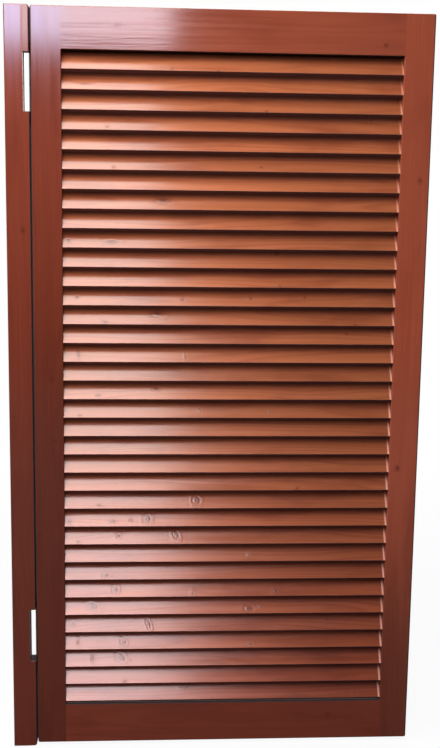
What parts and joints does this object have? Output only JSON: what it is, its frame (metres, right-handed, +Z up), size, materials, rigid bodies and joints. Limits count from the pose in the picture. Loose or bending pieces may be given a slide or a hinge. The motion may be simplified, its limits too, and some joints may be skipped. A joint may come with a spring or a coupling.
{
  "type": "louvred door",
  "caption": "Narrow louvred door leaf of varnished knotty pine with fixed sloping slats, hinged on a slim post.",
  "frame": {"origin": "on the post's outer edge face, midway through its thickness, level with the foot of the leaf", "axes": "+X to the right along the front, +Y through the door from front to rear, +Z up"},
  "size_m": [0.639, 0.036, 1.157],
  "materials": {
    "post_pine": "knotty pine, red-brown stain under gloss varnish",
    "frame_pine": "knotty pine, red-brown stain under gloss varnish",
    "slat_pine": "knotty pine, orange-brown stain under gloss varnish",
    "hinge_steel": "bright zinc plate",
    "screw_steel": "bright zinc plate"
  },
  "bodies": {
    "post": {"hinge_post": "post_pine", "upper_post_plate": "hinge_steel", "upper_hinge_pin": "hinge_steel", "upper_post_screws": "screw_steel", "lower_post_plate": "hinge_steel", "lower_hinge_pin": "hinge_steel", "lower_post_screws": "screw_steel"},
    "leaf": {"left_stile": "frame_pine", "right_stile": "frame_pine", "top_rail": "frame_pine", "bottom_rail": "frame_pine", "louvre_slat_01": "slat_pine", "louvre_slat_02": "slat_pine", "louvre_slat_03": "slat_pine", "louvre_slat_04": "slat_pine", "louvre_slat_05": "slat_pine", "louvre_slat_06": "slat_pine", "louvre_slat_07": "slat_pine", "louvre_slat_08": "slat_pine", "louvre_slat_09": "slat_pine", "louvre_slat_10": "slat_pine", "louvre_slat_11": "slat_pine", "louvre_slat_12": "slat_pine", "louvre_slat_13": "slat_pine", "louvre_slat_14": "slat_pine", "louvre_slat_15": "slat_pine", "louvre_slat_16": "slat_pine", "louvre_slat_17": "slat_pine", "louvre_slat_18": "slat_pine", "louvre_slat_19": "slat_pine", "louvre_slat_20": "slat_pine", "louvre_slat_21": "slat_pine", "louvre_slat_22": "slat_pine", "louvre_slat_23": "slat_pine", "louvre_slat_24": "slat_pine", "louvre_slat_25": "slat_pine", "louvre_slat_26": "slat_pine", "louvre_slat_27": "slat_pine", "louvre_slat_28": "slat_pine", "louvre_slat_29": "slat_pine", "louvre_slat_30": "slat_pine", "louvre_slat_31": "slat_pine", "louvre_slat_32": "slat_pine", "louvre_slat_33": "slat_pine", "louvre_slat_34": "slat_pine", "louvre_slat_35": "slat_pine", "upper_door_plate": "hinge_steel", "upper_door_screws": "screw_steel", "lower_door_plate": "hinge_steel", "lower_door_screws": "screw_steel"}
  },
  "joints": [
    {"name": "leaf_swing", "type": "hinge", "parent": "post", "child": "leaf", "pos_m": [0.0375, 0.018, 0.575], "axis": [0, 0, 1], "range_deg": [0, 170]}
  ]
}
